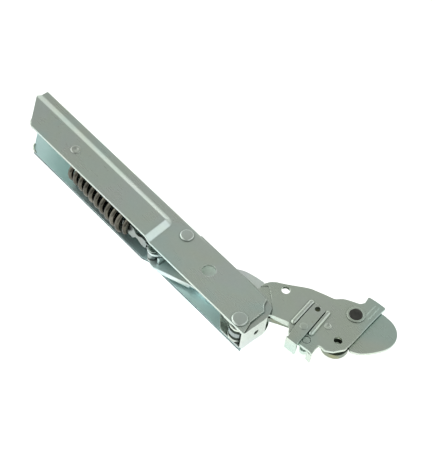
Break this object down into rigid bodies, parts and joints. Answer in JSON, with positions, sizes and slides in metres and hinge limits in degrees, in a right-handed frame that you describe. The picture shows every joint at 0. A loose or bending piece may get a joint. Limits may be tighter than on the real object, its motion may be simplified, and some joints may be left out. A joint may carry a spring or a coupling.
{
  "type": "sprung oven door hinge",
  "caption": "Folded steel channel with a tension spring inside and a pivoting hooked arm, which carries a drop-down door and balances its weight.",
  "frame": {"origin": "centre of the fixing hole in the outer face of the end bracket", "axes": "+X along the housing, out of its pivot end; +Y from the open edge to the web side that the arm swings out of; +Z across the two side plates"},
  "size_m": [0.2716, 0.0833, 0.0241],
  "materials": {
    "zinc_sheet": "zinc plated sheet, satin",
    "zinc_pin": "zinc plated, turned",
    "spring_wire": "oiled dark spring steel",
    "yellow_plate": "yellow passivated zinc",
    "black_pin": "black oxide"
  },
  "bodies": {
    "housing": {"housing_channel": "zinc_sheet", "end_bracket": "zinc_sheet", "pivot_rivet": "zinc_pin", "pivot_bush": "zinc_pin", "pivot_washers": "zinc_pin", "spacer_rivet": "zinc_pin", "spacer_tube": "zinc_pin", "anchor_pin": "zinc_pin", "anchor_tongue": "zinc_sheet", "main_spring": "spring_wire"},
    "tension_hook": {"spring_hook": "zinc_sheet"},
    "link": {"draw_link": "zinc_sheet", "link_pin": "zinc_pin"},
    "arm": {"near_cheek": "zinc_sheet", "far_cheek": "zinc_sheet", "core_lever": "yellow_plate", "hook_blade": "zinc_sheet", "hook_pin": "black_pin", "hook_pin_collar": "zinc_pin", "crank_pin": "zinc_pin", "stop_pin": "zinc_pin", "cheek_rivet": "zinc_pin", "detent_rivet": "yellow_plate"},
    "latch": {"latch_strap": "zinc_sheet", "latch_stud": "zinc_pin"}
  },
  "joints": [
    {"name": "arm_hinge", "type": "hinge", "parent": "housing", "child": "arm", "pos_m": [-0.0085, -0.0065, 0], "axis": [0, 0, 1], "range_deg": [-9, 74]},
    {"name": "spring_stretch", "type": "slide", "parent": "housing", "child": "tension_hook", "axis": [-0.998, 0.0638, 0], "range_m": [-0.0018, 0.0145], "deforming": ["main_spring"]},
    {"name": "link_swing", "type": "hinge", "parent": "tension_hook", "child": "link", "pos_m": [-0.08, -0.01, 0], "axis": [0, 0, 1], "range_deg": [-13, 1.6]},
    {"name": "latch_slide", "type": "slide", "parent": "arm", "child": "latch", "axis": [0.19, -0.9818, 0], "range_m": [0, 0.004]}
  ],
  "couplings": [
    {"joint": "spring_stretch", "follows": "arm_hinge", "m_per_rad": 0.011135},
    {"joint": "link_swing", "follows": "arm_hinge", "ratio": -0.1747}
  ]
}
